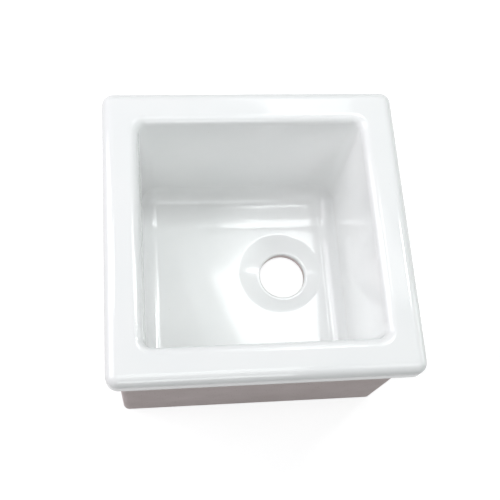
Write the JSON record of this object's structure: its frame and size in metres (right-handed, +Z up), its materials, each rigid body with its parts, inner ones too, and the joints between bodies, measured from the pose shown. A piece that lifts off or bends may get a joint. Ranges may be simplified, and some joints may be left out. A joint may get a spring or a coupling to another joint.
{
  "type": "undermount utility sink",
  "caption": "Square undermount utility sink: thick rounded rim, deep straight-walled bowl, coved floor falling to an offset drain hole, and hangers that turn out from under the rim.",
  "frame": {"origin": "centre of the flat base, on the surface that it stands on", "axes": "+Z up to the rim, +Y to the back, +X to the right, where the drain hole lies"},
  "size_m": [0.508, 0.508, 0.318],
  "materials": {
    "glazed_fireclay": "white gloss glaze, bare on the underside",
    "brass": "turned",
    "rubber": "matt black",
    "plated_steel": "bright zinc plate"
  },
  "bodies": {
    "sink": {"basin": "glazed_fireclay", "insert_left_front": "brass", "pad_left_front": "rubber", "washer_left_front": "plated_steel", "bolt_left_front": "plated_steel", "insert_left_rear": "brass", "pad_left_rear": "rubber", "washer_left_rear": "plated_steel", "bolt_left_rear": "plated_steel", "insert_right_front": "brass", "pad_right_front": "rubber", "washer_right_front": "plated_steel", "bolt_right_front": "plated_steel", "insert_right_rear": "brass", "pad_right_rear": "rubber", "washer_right_rear": "plated_steel", "bolt_right_rear": "plated_steel"},
    "left_front_hanger": {"hanger_left_front": "plated_steel"},
    "left_rear_hanger": {"hanger_left_rear": "plated_steel"},
    "right_front_hanger": {"hanger_right_front": "plated_steel"},
    "right_rear_hanger": {"hanger_right_rear": "plated_steel"}
  },
  "joints": [
    {"name": "left_front_hanger_turn", "type": "hinge", "parent": "sink", "child": "left_front_hanger", "pos_m": [-0.2445, -0.15, 0.2745], "axis": [0, 0, 1], "range_deg": [0, 180]},
    {"name": "left_rear_hanger_turn", "type": "hinge", "parent": "sink", "child": "left_rear_hanger", "pos_m": [-0.2445, 0.15, 0.2745], "axis": [0, 0, -1], "range_deg": [0, 180]},
    {"name": "right_front_hanger_turn", "type": "hinge", "parent": "sink", "child": "right_front_hanger", "pos_m": [0.2445, -0.15, 0.2745], "axis": [0, 0, -1], "range_deg": [0, 180]},
    {"name": "right_rear_hanger_turn", "type": "hinge", "parent": "sink", "child": "right_rear_hanger", "pos_m": [0.2445, 0.15, 0.2745], "axis": [0, 0, 1], "range_deg": [0, 180]}
  ]
}
